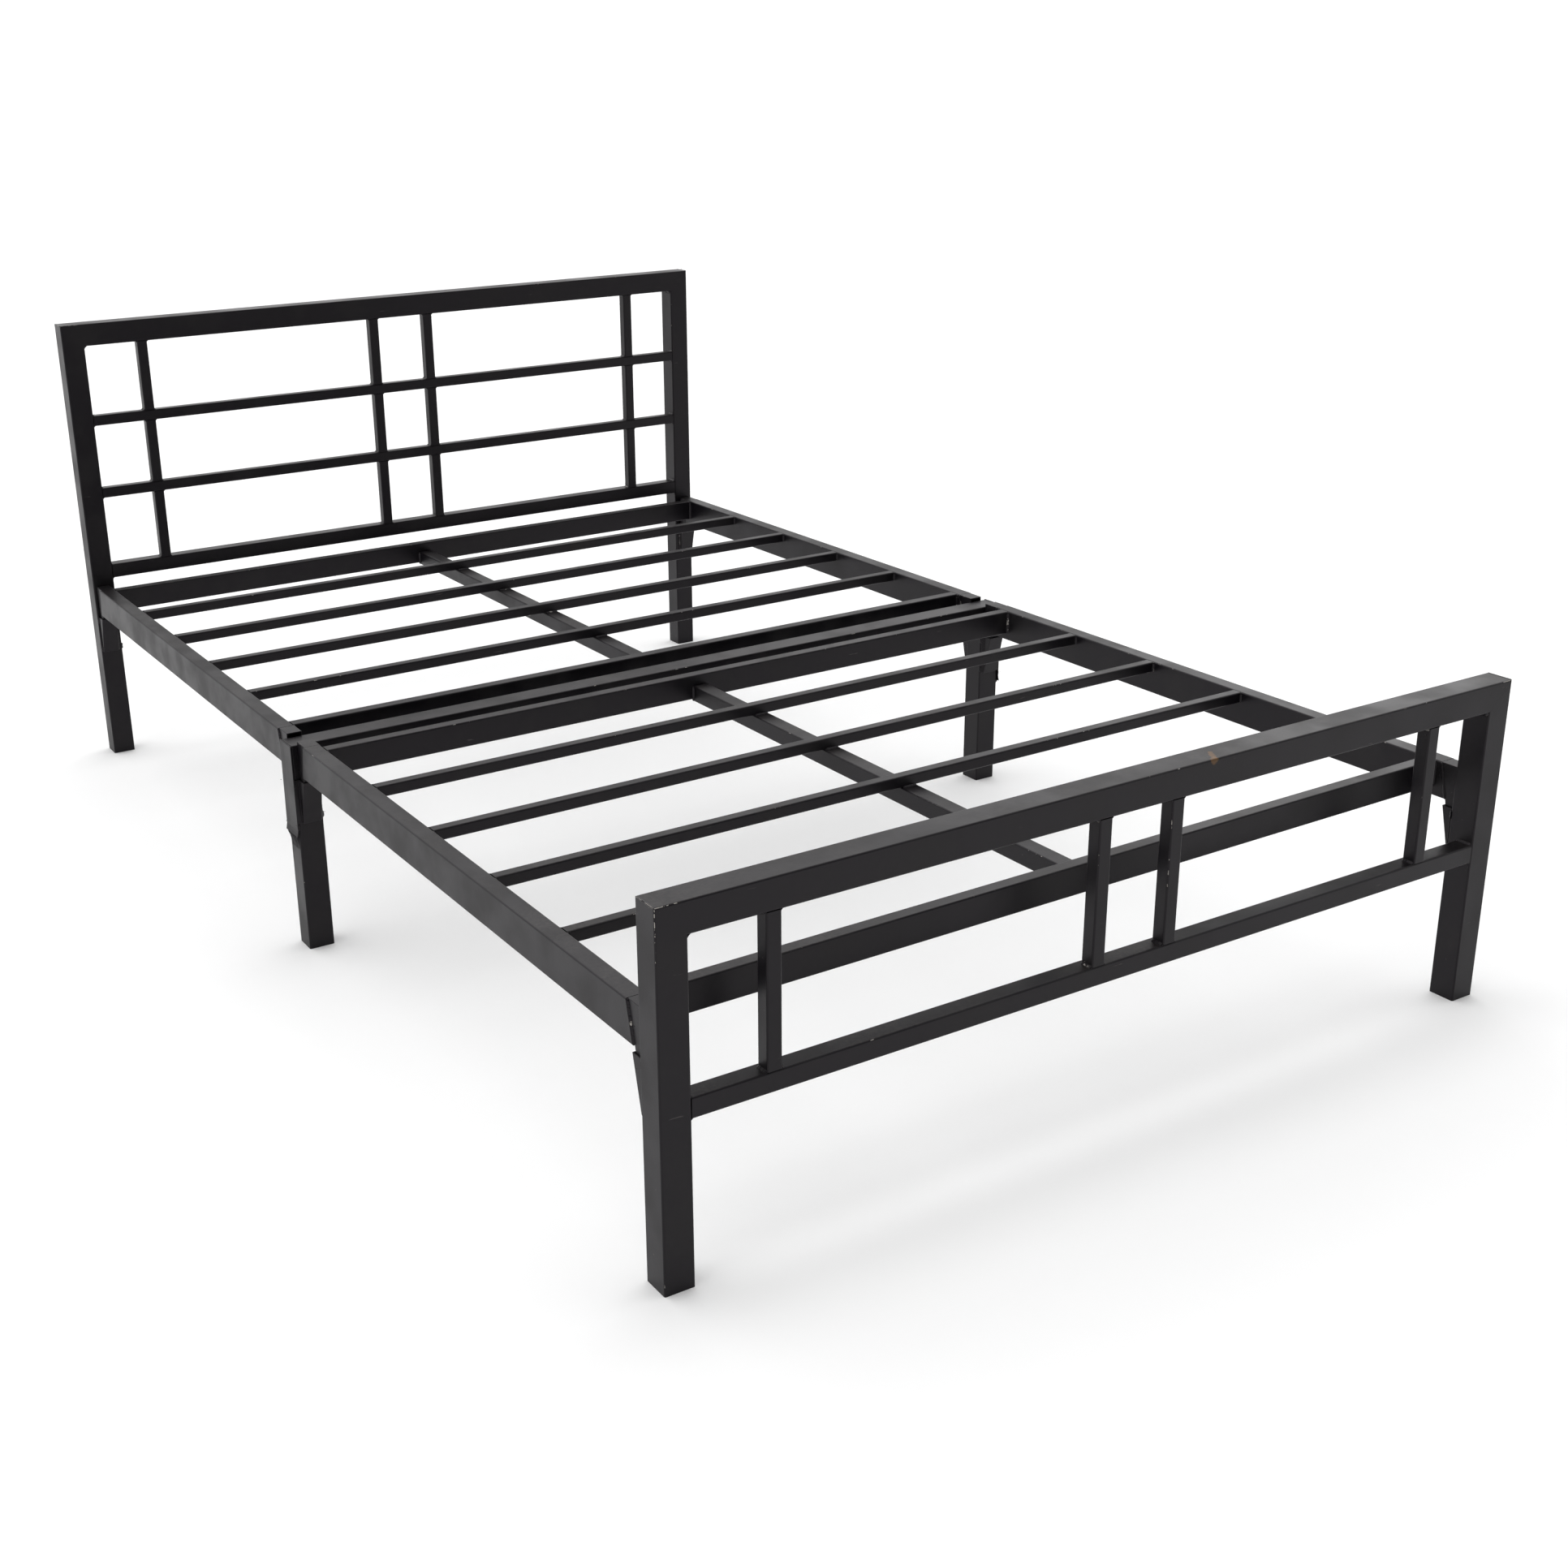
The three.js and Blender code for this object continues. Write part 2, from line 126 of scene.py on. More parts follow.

# Wear, marks and the painted highlight along the edges of the coat, each blotch by its distance
# across
CLOUD_SIZE = 70 * MM
WIPED_SIZE = 160 * MM
SPECK_SIZE = 5 * MM
SCUFF_SIZE = 60 * MM
WORN_PATCH_SIZE = 90 * MM
FLAKE_SIZE = 7 * MM
RAGGED_SIZE = 6 * MM
WAVE_SIZE = 45 * MM
PEEL_DEPTH = 0.3 * MM
WAVE_DEPTH = 2.0 * MM
CHIP_DEPTH = 0.15 * MM
SCUFF_STRENGTH = 0.35
RUST_STRENGTH = 0.45
NO_WEAR = -0.6  # below any value that the noise can reach
# Reaches of the extra chips round three upper corners; the light chip colour there also stands as a
# painted highlight
FOOT_LEFT_CHIP_GLINT = 62 * MM
FOOT_RIGHT_CHIP_GLINT = 40 * MM
HEAD_LEFT_CHIP_GLINT = 45 * MM
CHIP_GLINT_INSET = 12 * MM
RUST_SHARE = 0.589  # where the rust lies along the footboard's top rail
RUST_LEAN = 0.6  # how far it strays right for each step inward
# Spots of the rust streak, as (mm in from the rail's front, radius in mm)
RUST_SPOTS = ((0, 8.0), (4, 4.5), (9, 5.0), (14, 4.5), (19, 4.0))

# Cross-sections of a bead, in units of its leg, as (across one face, across the other)
FILLET = (
    (-0.25, -0.25),
    (1.0, -0.25),
    (1.0, 0.06),
    (0.64, 0.32),
    (0.32, 0.64),
    (0.06, 1.0),
    (-0.25, 1.0),
)
DOME = (
    (-1.0, -0.3),
    (1.0, -0.3),
    (0.92, 0.12),
    (0.5, 0.46),
    (0.0, 0.58),
    (-0.5, 0.46),
    (-0.92, 0.12),
)
# Weld metal that runs down from a lip and tapers off, as (down the face, out of the face)
RUN_DOWN = (
    (-0.25, -0.25),
    (4.2, -0.25),
    (4.2, 0.02),
    (2.6, 0.20),
    (1.3, 0.45),
    (0.4, 0.85),
    (-0.25, 1.0),
)


def linear(hex_colour):
    """Turns an sRGB hex colour into linear red, green, blue and alpha."""
    channels = [int(hex_colour[i : i + 2], 16) / 255 for i in (1, 3, 5)]
    return tuple(
        c / 12.92 if c <= 0.04045 else ((c + 0.055) / 1.055) ** 2.4 for c in channels
    ) + (1.0,)


def add_node(tree, kind, settings=None, links=None):
    """Adds one node, sets its options and sockets, and links its inputs."""
    node = tree.nodes.new(kind)
    for key, value in (settings or {}).items():
        if isinstance(key, str) and hasattr(node, key):
            setattr(node, key, value)
        else:
            node.inputs[key].default_value = value
    for key, source in (links or {}).items():
        tree.links.new(source, node.inputs[key])
    return node


def noise(tree, place, size, detail=2.0, roughness=0.5):
    """Noise whose blotches are about size metres across."""
    return add_node(
        tree,
        "ShaderNodeTexNoise",
        {"Scale": 1 / size, "Detail": detail, "Roughness": roughness},
        {"Vector": place},
    ).outputs["Fac"]


def ramp(tree, value, low, high, to_low=0.0, to_high=1.0):
    """Smooth step of a value from low to high."""
    return add_node(
        tree,
        "ShaderNodeMapRange",
        {
            "interpolation_type": "SMOOTHSTEP",
            "From Min": low,
            "From Max": high,
            "To Min": to_low,
            "To Max": to_high,
        },
        {"Value": value},
    ).outputs["Result"]


def maths(tree, operation, first, second):
    """One sum of two values, each a link or a number."""
    settings, links = {"operation": operation}, {}
    for socket, value in enumerate((first, second)):
        if isinstance(value, (int, float)):
            settings[socket] = value
        else:
            links[socket] = value
    return add_node(tree, "ShaderNodeMath", settings, links).outputs["Value"]


def distance_from(tree, place, centre):
    """How far each point of the surface is from a centre."""
    return add_node(
        tree,
        "ShaderNodeVectorMath",
        {"operation": "DISTANCE", 1: centre},
        {0: place},
    ).outputs["Value"]


def blend_colour(tree, factor, first, second):
    """Mixes from the first colour to the second, each a link or a linear colour."""
    settings, links = {"data_type": "RGBA"}, {0: factor}
    for socket, value in ((6, first), (7, second)):
        if isinstance(value, tuple):
            settings[socket] = value
        else:
            links[socket] = value
    return add_node(tree, "ShaderNodeMix", settings, links).outputs[2]


def new_material(name):
    """An empty node material with its surface shader; returns material, tree and shader."""
    material = bpy.data.materials.new(name)
    material.use_nodes = True
    tree = material.node_tree
    tree.nodes.clear()
    shader = add_node(tree, "ShaderNodeBsdfPrincipled")
    add_node(tree, "ShaderNodeOutputMaterial", links={"Surface": shader.outputs["BSDF"]})
    return material, tree, shader


def arris(tree):
    """Mask of the rounded corners of tubes and folds. The bed is built nearly square, so its
    flat faces look along an axis and the corners look between two. On a bead it also takes
    in the slopes."""
    normal = add_node(tree, "ShaderNodeNewGeometry").outputs["Normal"]
    sizes = add_node(tree, "ShaderNodeVectorMath", {"operation": "ABSOLUTE"}, {0: normal})
    parts = add_node(tree, "ShaderNodeSeparateXYZ", links={"Vector": sizes.outputs["Vector"]})
    largest = maths(tree, "MAXIMUM", parts.outputs["X"], parts.outputs["Y"])
    return ramp(tree, maths(tree, "MAXIMUM", largest, parts.outputs["Z"]), 0.88, 0.78)


def chipped_and_highlit_edges(tree, place, amount, chip_and_glint_spots=()):
    """Mask of the spots along the arrises that take the light chip colour: chips in the coat, and a
    painted highlight on the rounded corners. Each extra spot is a place and the distance that the
    added chips and painted highlight round it reach."""
    broad = noise(tree, place, WORN_PATCH_SIZE, 2.0)
    fine = noise(tree, place, FLAKE_SIZE, 3.0, 0.6)
    for centre, far in chip_and_glint_spots:
        away = distance_from(tree, place, centre)
        broad = maths(tree, "ADD", broad, ramp(tree, away, far, 0.3 * far, 0.0, 0.18))
        fine = maths(tree, "ADD", fine, ramp(tree, away, far, 0.1 * far, 0.0, 0.12))
    patches = ramp(tree, broad, 0.60 - amount, 0.66 - amount)
    flakes = ramp(tree, fine, 0.60 - amount, 0.64 - amount)
    return maths(tree, "MULTIPLY", maths(tree, "MULTIPLY", patches, flakes), arris(tree))


def spot(tree, place, centre, radius):
    """Mask of a ragged spot round a point."""
    distance = distance_from(tree, place, centre)
    ragged = maths(tree, "MULTIPLY", noise(tree, place, RAGGED_SIZE, 3.0), 0.8 * radius)
    return ramp(tree, maths(tree, "ADD", distance, ragged), 1.35 * radius, 0.95 * radius)


def powder_coat_material(name, settings, roughness, wear, rust_spots=(), chip_and_glint_spots=()):
    """Black powder coat on steel: a satin skin with slight orange peel, a film of dust where it
    faces up, scuffs, and light chips along the edges, which also stand as a painted highlight on
    the rounded corners."""
    material, tree, shader = new_material(name)
    texture = add_node(tree, "ShaderNodeTexCoord")
    place = texture.outputs["Object"]
    geometry = add_node(tree, "ShaderNodeNewGeometry")
    upward = add_node(
        tree, "ShaderNodeSeparateXYZ", links={"Vector": geometry.outputs["Normal"]}
    ).outputs["Z"]

    # Cloudy pigment, a hand's breadth across
    cloud = noise(tree, place, CLOUD_SIZE, 3.0)
    colour = blend_colour(
        tree, ramp(tree, cloud, 0.42, 0.68), tuple(settings.coat_colour), linear(COAT_MOTTLE_HEX)
    )
    # House dust on the upper faces, wiped off in patches
    wiped = ramp(tree, noise(tree, place, WIPED_SIZE, 4.0, 0.6), 0.35, 0.65)
    specks = ramp(tree, noise(tree, place, SPECK_SIZE, 4.0, 0.7), 0.30, 0.75)
    dust = maths(
        tree,
        "MULTIPLY",
        maths(tree, "MULTIPLY", ramp(tree, upward, 0.6, 1.0, 0.0, settings.dust), wiped),
        specks,
    )
    colour = blend_colour(tree, dust, colour, tuple(settings.dust_colour))
    # Short scuffs, drawn out along one slanting direction
    stretched = add_node(
        tree,
        "ShaderNodeMapping",
        {"Rotation": (0.4, 0.7, 0.2), "Scale": (1.0, 9.0, 9.0)},
        {"Vector": place},
    ).outputs["Vector"]
    scuffs = noise(tree, stretched, SCUFF_SIZE, 3.0, 0.7)
    scuff = ramp(tree, scuffs, 0.70, 0.76, 0.0, SCUFF_STRENGTH)
    colour = blend_colour(tree, scuff, colour, linear(SCUFF_HEX))
    # Light chip colour along the arrises: chips in the coat, and also a painted highlight on the
    # rounded corners
    chips = chipped_and_highlit_edges(tree, place, wear, chip_and_glint_spots)
    colour = blend_colour(tree, chips, colour, linear(CHIP_AND_HIGHLIGHT_HEX))
    for centre, radius in rust_spots:
        rust = maths(tree, "MULTIPLY", spot(tree, place, centre, radius), RUST_STRENGTH)
        colour = blend_colour(tree, rust, colour, linear(RUST_HEX))
    tree.links.new(colour, shader.inputs["Base Color"])

    gloss = ramp(tree, cloud, 0.35, 0.70, roughness - 0.05, roughness + 0.08)
    gloss = maths(tree, "ADD", gloss, maths(tree, "MULTIPLY", dust, 0.5))
    tree.links.new(gloss, shader.inputs["Roughness"])

    # Orange peel, over a slow waviness of the tube
    peel = noise(tree, place, settings.peel_size, 2.0)
    wave = noise(tree, place, WAVE_SIZE, 1.0)
    bumped = add_node(
        tree,
        "ShaderNodeBump",
        {"Strength": 0.12, "Distance": PEEL_DEPTH},
        {"Height": peel},
    ).outputs["Normal"]
    bumped = add_node(
        tree,
        "ShaderNodeBump",
        {"Strength": 0.05, "Distance": WAVE_DEPTH},
        {"Height": wave, "Normal": bumped},
    ).outputs["Normal"]
    bumped = add_node(
        tree,
        "ShaderNodeBump",
        {"Strength": 0.6, "Distance": CHIP_DEPTH, "invert": True},
        {"Height": chips, "Normal": bumped},
    ).outputs["Normal"]
    tree.links.new(bumped, shader.inputs["Normal"])
    shader.inputs["IOR"].default_value = settings.coat_ior
    shader.inputs["Specular Tint"].default_value = tuple(settings.gloss_tint)
    return material


def plug_material():
    """Moulded plastic: dull black with a fine grain."""
    material, tree, shader = new_material("moulded polypropylene")
    place = add_node(tree, "ShaderNodeTexCoord").outputs["Object"]
    grain = noise(tree, place, 1.5 * MM, 2.0)
    tree.links.new(
        blend_colour(tree, grain, linear(PLUG_HEX), linear(COAT_MOTTLE_HEX)),
        shader.inputs["Base Color"],
    )
    tree.links.new(ramp(tree, grain, 0.3, 0.7, 0.55, 0.7), shader.inputs["Roughness"])
    bumped = add_node(
        tree, "ShaderNodeBump", {"Strength": 0.3, "Distance": 0.1 * MM}, {"Height": grain}
    ).outputs["Normal"]
    tree.links.new(bumped, shader.inputs["Normal"])
    return material


def floor_material(settings):
    """Plain painted studio floor."""
    material, tree, shader = new_material("matt painted floor")
    place = add_node(tree, "ShaderNodeTexCoord").outputs["Object"]
    cloud = noise(tree, place, 0.8, 2.0)
    tree.links.new(
        ramp(tree, cloud, 0.3, 0.7, 0.86, 0.92), shader.inputs["Roughness"]
    )
    shader.inputs["Base Color"].default_value = tuple(settings.floor_colour)
    shader.inputs["Specular IOR Level"].default_value = 0.2
    return material


def material_named(name, maker, *parts):
    """The material of that name, made on its first use."""
    return bpy.data.materials.get(name) or maker(name, *parts)


def rust_places():
    """Centres and radii of one rust streak that runs across the footboard's top rail and
    just over its edge, askew, a little to the right of the middle."""
    low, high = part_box("footboard_top_rail")
    along = low.x + RUST_SHARE * (high.x - low.x)
    return tuple(
        ((along + RUST_LEAN * inward * MM, low.y + inward * MM, high.z), radius * MM)
        for inward, radius in RUST_SPOTS
    )


def chipped_highlit_corners():
    """The upper corners with more chips and more painted highlight: the footboard's two, the left
    one the most, and the headboard's left one."""
    foot_low, foot_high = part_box("footboard_post_left")
    right_low, right_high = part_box("footboard_post_right")
    head_low, head_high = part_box("headboard_post_left")
    return (
        ((foot_low.x, foot_low.y + CHIP_GLINT_INSET, foot_high.z), FOOT_LEFT_CHIP_GLINT),
        ((right_high.x, right_low.y, right_high.z), FOOT_RIGHT_CHIP_GLINT),
        ((head_low.x, head_low.y, head_high.z), HEAD_LEFT_CHIP_GLINT),
    )


def tube_coat(scene):
    return material_named(
        "satin powder-coated steel",
        powder_coat_material,
        scene.bed_coat,
        scene.bed_coat.roughness,
        scene.bed_coat.wear,
        rust_places(),
        chipped_highlit_corners(),
    )


def dressed_coat(scene):
    """The same coat over welds ground flush, without chips or painted highlight."""
    return material_named(
        "powder-coated dressed weld",
        powder_coat_material,
        scene.bed_coat,
        scene.bed_coat.roughness,
        NO_WEAR,
    )


def weld_coat(scene):
    """The same coat over a bead, glossier, with a little more of the chips and painted highlight.
    """
    return material_named(
        "powder-coated weld bead",
        powder_coat_material,
        scene.bed_coat,
        scene.bed_coat.roughness - 0.10,
        scene.bed_coat.wear + 0.05,
        (),
        chipped_highlit_corners(),
    )


def give_material(piece, material):
    piece.data.materials.clear()
    piece.data.materials.append(material)


def finish_piece(name, bm, material, body):
    """Makes a finished piece out of a bmesh and lets it ride on its body."""
    mesh = bpy.data.meshes.new(name)
    bm.to_mesh(mesh)
    bm.free()
    piece = bpy.data.objects.new(name, mesh)
    bpy.context.scene.collection.objects.link(piece)
    give_material(piece, material)
    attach(piece, body)
    return piece


def body_of_node(name):
    for body in ("foot_deck", "head_deck"):
        if name.startswith(body + "_"):
            return body
    return ROOT


def bead(weld, start, end, side_a, side_b, leg, shape=FILLET):
    """Lays one rippled bead from start to end. Its section spreads along side_a and side_b,
    away from the corner along each face, and swells with each puddle of the arc."""
    settings = bpy.context.scene.bed_weld
    rng = weld["rng"]
    run = Vector(end) - Vector(start)
    steps = max(6, round(run.length / settings.ripple_pitch * 2))
    sides = len(shape)
    bm = bmesh.new()
    bmesh.ops.create_cone(bm, cap_ends=True, segments=sides, radius1=1, radius2=1, depth=1)
    lengthwise = [e for e in bm.edges if abs(e.verts[0].co.z - e.verts[1].co.z) > 0.5]
    bmesh.ops.subdivide_edges(bm, edges=lengthwise, cuts=steps - 1)
    swells = []
    for step in range(steps + 1):
        swell = 1.0 + (0.09 if step % 2 else -0.09) + rng.uniform(-0.08, 0.08)
        swells.append(swell * min(1.0, 0.5 + 0.25 * min(step, steps - step)))
    bm.verts.ensure_lookup_table()
    first = math.atan2(bm.verts[0].co.y, bm.verts[0].co.x)
    for vert in bm.verts:
        step = round((vert.co.z + 0.5) * steps)
        turn = math.atan2(vert.co.y, vert.co.x) - first
        a, b = shape[round(turn / math.tau * sides) % sides]
        size = leg * swells[step]
        vert.co = (a * size, b * size, run.length * step / steps)
    place_part(weld, bm, start, side_a, side_b, run)
    for _ in range(settings.spatter):
        add_spatter(weld, Vector(start) + run * rng.random(), side_a, side_b, leg)


def merge(whole, bm):
    """Adds a small bmesh to a larger one and frees it."""
    part = bpy.data.meshes.new("part")
    bm.to_mesh(part)
    bm.free()
    whole.from_mesh(part)
    bpy.data.meshes.remove(part)


def place_part(weld, bm, start, side_a, side_b, run):
    """Turns a small bmesh from its own axes into place and adds it to the weld."""
    axes = [Vector(axis).normalized() for axis in (side_a, side_b, run)]
    turn = Matrix(axes).transposed()
    place = Matrix.Translation(Vector(start)) @ turn.to_4x4()
    bmesh.ops.transform(bm, matrix=place, verts=bm.verts)
    bmesh.ops.recalc_face_normals(bm, faces=bm.faces)
    merge(weld["bm"], bm)


def add_spatter(weld, near, side_a, side_b, leg):
    """One ball of spatter stuck to either face beside a bead."""
    rng = weld["rng"]
    side = Vector(rng.choice((side_a, side_b))).normalized()
    bm = bmesh.new()
    bmesh.ops.create_icosphere(bm, subdivisions=2, radius=rng.uniform(0.35, 0.8) * MM)
    bmesh.ops.scale(bm, vec=(1.0, 1.0, 0.7), verts=bm.verts)
    bmesh.ops.translate(
        bm, vec=Vector(near) + side * leg * rng.uniform(1.2, 3.2), verts=bm.verts
    )
    merge(weld["bm"], bm)


def new_weld(name):
    """An empty weld: its mesh so far, and its own seeded draw of numbers."""
    seed = bpy.context.scene.bed_weld.seed + sum(ord(letter) for letter in name)
    return {"name": name, "bm": bmesh.new(), "rng": random.Random(seed)}


def finish_weld(weld, body):
    bm = weld["bm"]
    for face in bm.faces:
        face.smooth = True
    finish_piece(weld["name"], bm, weld_coat(bpy.context.scene), body)


def weld_upright(weld, node, leg):
    """Beads along the bed's length at the left and right of both ends of an upright."""
    low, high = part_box(node)
    for z, up in ((low.z - JOIN_GAP, 1), (high.z + JOIN_GAP, -1)):
        for x, out in ((low.x, -1), (high.x, 1)):
            weld_along_y(weld, (x, z), (low.y, high.y), out, up, leg)


def weld_level(weld, node, leg):
    """Beads along the bed's length above and below both ends of a level tube."""
    low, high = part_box(node)
    for x, inward in ((low.x - JOIN_GAP, 1), (high.x + JOIN_GAP, -1)):
        for z, out in ((low.z, -1), (high.z, 1)):
            weld_along_y(weld, (x, z), (low.y, high.y), inward, out, leg)


def weld_along_y(weld, corner, reach, side_x, side_z, leg):
    """One bead along the bed's length in a corner of the XZ plane."""
    x, z = corner
    start = (x, reach[0] + BEAD_END, z)
    end = (x, reach[1] - BEAD_END, z)
    bead(weld, start, end, (side_x, 0, 0), (0, 0, side_z), leg)


def tube_sides(node, x):
    """Where the foot-side and head-side faces of a tube across the bed lie at x. The tube
    may lean, so both are found at its ends and carried along it."""
    low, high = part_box(node)
    ends = []
    for end in (low.x, high.x):
        reach = [v.co.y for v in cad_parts[node].data.vertices if abs(v.co.x - end) < MM]
        ends.append((min(reach), max(reach)))
    share = (x - low.x) / (high.x - low.x)
    return [left + (right - left) * share for left, right in zip(*ends)]


def weld_deck_tube(weld, node, leg):
    """Upright beads at the foot and head side of both ends of a cross rail or slat."""
    low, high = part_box(node)
    for x, inward in ((low.x - JOIN_GAP, 1), (high.x + JOIN_GAP, -1)):
        for y, out in zip(tube_sides(node, x), (-1, 1)):
            start = (x, y, low.z + BEAD_END)
            end = (x, y, high.z - BEAD_END)
            bead(weld, start, end, (inward, 0, 0), (0, out, 0), leg)


def weld_centre_rail(weld, deck, leg):
    """Upright beads at the centre rail's ends, and one on each side of every slat."""
    low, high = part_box(deck + "_centre_rail")
    for y, inward in ((low.y - JOIN_GAP, 1), (high.y + JOIN_GAP, -1)):
        for x, out in ((low.x, -1), (high.x, 1)):
            start = (x, y, low.z + BEAD_END)
            end = (x, y, high.z - BEAD_END)
            bead(weld, start, end, (0, inward, 0), (out, 0, 0), leg)
    left, right = low.x + 2 * BEAD_END, high.x - 2 * BEAD_END
    for index in range(SLATS):
        slat = f"{deck}_slat_{index + 1}"
        for start_y, end_y, out in zip(tube_sides(slat, left), tube_sides(slat, right), (-1, 1)):
            bead(weld, (left, start_y, high.z), (right, end_y, high.z), (0, out, 0), (0, 0, 1), leg)


def weld_portal_corners(weld, top_rail, post, leg):
    """A fillet inside both upper corners, where the posts meet the top rail, and a low
    bead that rounds each corner's outer edge."""
    low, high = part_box(top_rail)
    post_low, post_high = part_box(post + "_right")
    for side in (-1, 1):
        weld_along_y(weld, (side * post_low.x, low.z), (low.y, high.y), -side, -1, leg)
        start, end = (
            (side * (post_high.x - EDGE_SINK), y, high.z - EDGE_SINK)
            for y in (low.y + TUBE_CORNER, high.y - TUBE_CORNER)
        )
        bead(weld, start, end, (side, 0, -1), (side, 0, 1), EDGE_BEAD, DOME)


def fill_mitres(board, post, top_rail):
    """The welds in a portal's two mitres, ground flush with the tubes before coating."""
    low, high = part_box(top_rail)
    square = high.z - low.z - 2 * DRESSED
    joined = bmesh.new()
    for name, side in SIDES:
        post_low, post_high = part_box(f"{post}_{name}")
        bm = bmesh.new()
        bmesh.ops.create_cube(bm, size=1.0)
        bmesh.ops.scale(bm, vec=(square, square, MITRE_WELD), verts=bm.verts)
        upright = [e for e in bm.edges if abs(e.verts[0].co.z - e.verts[1].co.z) > MITRE_WELD / 2]
        bmesh.ops.bevel(
            bm,
            geom=upright,
            offset=TUBE_CORNER,
            segments=5,
            profile=0.5,
            affect="EDGES",
            material=-1,
        )
        for vert in bm.verts:
            vert.co.z += side * vert.co.x
        centre = ((post_low.x + post_high.x) / 2, (low.y + high.y) / 2, (low.z + high.z) / 2)
        bmesh.ops.translate(bm, vec=centre, verts=bm.verts)
        bmesh.ops.recalc_face_normals(bm, faces=bm.faces)
        merge(joined, bm)
    finish_piece(board + "_mitre_welds", joined, dressed_coat(bpy.context.scene), ROOT)


def weld_tongue(weld, node, side, facing):
    """Slanted beads that join a tongue to its side rail, on the rail's outer and inner face."""
    low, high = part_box(node)
    bottom = high.z - RAIL_HEIGHT
    leg_face = low.y if facing > 0 else high.y
    reach = high.y - low.y
    slope = (reach - TONGUE_TIP) / (high.z - low.z)

    def seam(x, z):
        return (x, leg_face + facing * (reach - slope * (high.z - z)), z)

    outer, inner = (low.x, high.x) if side < 0 else (high.x, low.x)
    start, end = seam(outer, bottom + BEAD_END), seam(outer, high.z - BEAD_END)
    bead(weld, start, end, (side, 0, 0), (0, -facing, 0), TONGUE_LEG)
    start, end = seam(inner, bottom + BEAD_END), seam(inner, high.z - BEAD_END)
    bead(weld, start, end, (0, facing, 0), (-side, 0, 0), TONGUE_LEG, DOME)


def weld_channel(weld, tongue, face, facing):
    """A fillet down the inboard side of a pocket's channel, where it meets its ear."""
    tongue_low, tongue_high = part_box(tongue)
    pocket_low, pocket_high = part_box("headboard_pocket_left")
    side = 1 if tongue_low.x > 0 else -1
    wall = (tongue_low.x if side > 0 else tongue_high.x) - side * (LOCK_PLAY + SHEET)
    ear = face + facing * (JOIN_GAP + SHEET)
    start = (wall, ear, pocket_low.z + BEAD_END)
    end = (wall, ear, pocket_high.z - BEAD_END)
    bead(weld, start, end, (-side, 0, 0), (0, facing, 0), CHANNEL_LEG)


def weld_pocket(weld, low, high, face, facing):
    """Short tacks at the top and bottom of a pocket's two edges on the leg's face."""
    for x, out in ((low.x, -1), (high.x, 1)):
        for z in (low.z + BEAD_END, high.z - POCKET_TACK - BEAD_END):
            start = (x, face, z)
            end = (x, face, z + POCKET_TACK)
            bead(weld, start, end, (out, 0, 0), (0, facing, 0), TACK_LEG)


def weld_lip(weld, outer, side, reach, lip, leg):
    """A run of weld down the leg from a saddle's lip, and a heavy bead on the lip itself,
    laid a little askew."""
    start, end = ((outer, y, lip - BEAD_END) for y in reach)
    bead(weld, start, end, (0, 0, -1), (side, 0, 0), leg, RUN_DOWN)
    start, end = (
        (outer + side * LIP_BEAD_OUT, y, lip + drop)
        for y, drop in zip(reach, (-LIP_BEAD_ASKEW, LIP_BEAD_ASKEW))
    )
    bead(weld, start, end, (0, 0, -1), (side, 0, 0), 0.5 * leg, DOME)


def weld_saddle(weld, outer, inner, side, face, facing, pocket):
    """Short tacks on a saddle's outer corner and on its inner edge, at the same heights as
    the end pockets, given as lowest and highest."""
    lowest, highest = pocket
    corner = (outer + side * 0.5 * SHEET, face + facing * SHEET)
    for z in (lowest - 10 * MM, highest - 12 * MM):
        start, end = (*corner, z), (*corner, z + SMALL_TACK)
        bead(weld, start, end, (side, 0, 0), (0, facing, 0), SMALL_TACK_LEG, DOME)
    for z in (lowest + 2 * MM, highest - 12 * MM):
        start, end = (inner, face, z), (inner, face, z + SADDLE_TACK)
        bead(weld, start, end, (-side, 0, 0), (0, facing, 0), TACK_LEG)


def folded_lock(node):
    """A tongue, pocket or saddle as bent sheet: the node's shape with its folds rounded."""
    bm = bmesh.new()
    bm.from_mesh(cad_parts[node].data)
    bmesh.ops.remove_doubles(bm, verts=bm.verts, dist=0.01 * MM)
    bmesh.ops.dissolve_limit(
        bm, angle_limit=math.radians(1), verts=bm.verts, edges=bm.edges
    )
    if "_saddle_" in node:
        flare_lip(bm)
    folds = [e for e in bm.edges if e.calc_face_angle(0.0) > math.radians(20)]
    bmesh.ops.bevel(
        bm,
        geom=folds,
        offset=bpy.context.scene.bed_lock.fold_radius,
        offset_type="OFFSET",
        segments=3,
        profile=0.5,
        affect="EDGES",
        clamp_overlap=True,
        material=-1,
    )
    piece = finish_piece(
        node + "_sheet", bm, tube_coat(bpy.context.scene), body_of_node(node)
    )
    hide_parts(node)


def flare_lip(bm):
    """Bends a saddle's lower lip away from the leg, unevenly."""
    lowest = min(v.co.z for v in bm.verts)
    side = 1 if sum(v.co.x for v in bm.verts) > 0 else -1
    for rise in LIP_CUT_HEIGHTS:
        bmesh.ops.bisect_plane(
            bm,
            geom=bm.verts[:] + bm.edges[:] + bm.faces[:],
            plane_co=(0, 0, lowest + rise),
            plane_no=(0, 0, 1),
        )
    for y in LIP_CUT_PLACES:
        bmesh.ops.bisect_plane(
            bm,
            geom=bm.verts[:] + bm.edges[:] + bm.faces[:],
            plane_co=(0, y, 0),
            plane_no=(0, 1, 0),
        )
    for vert in bm.verts:
        rise = vert.co.z - lowest
        if rise < LIP_HEIGHT:
            share = 1 - rise / LIP_HEIGHT
            vert.co.x += side * share * (LIP_BEND + LIP_TWIST * vert.co.y)
            vert.co.z += share * LIP_SLANT * vert.co.y


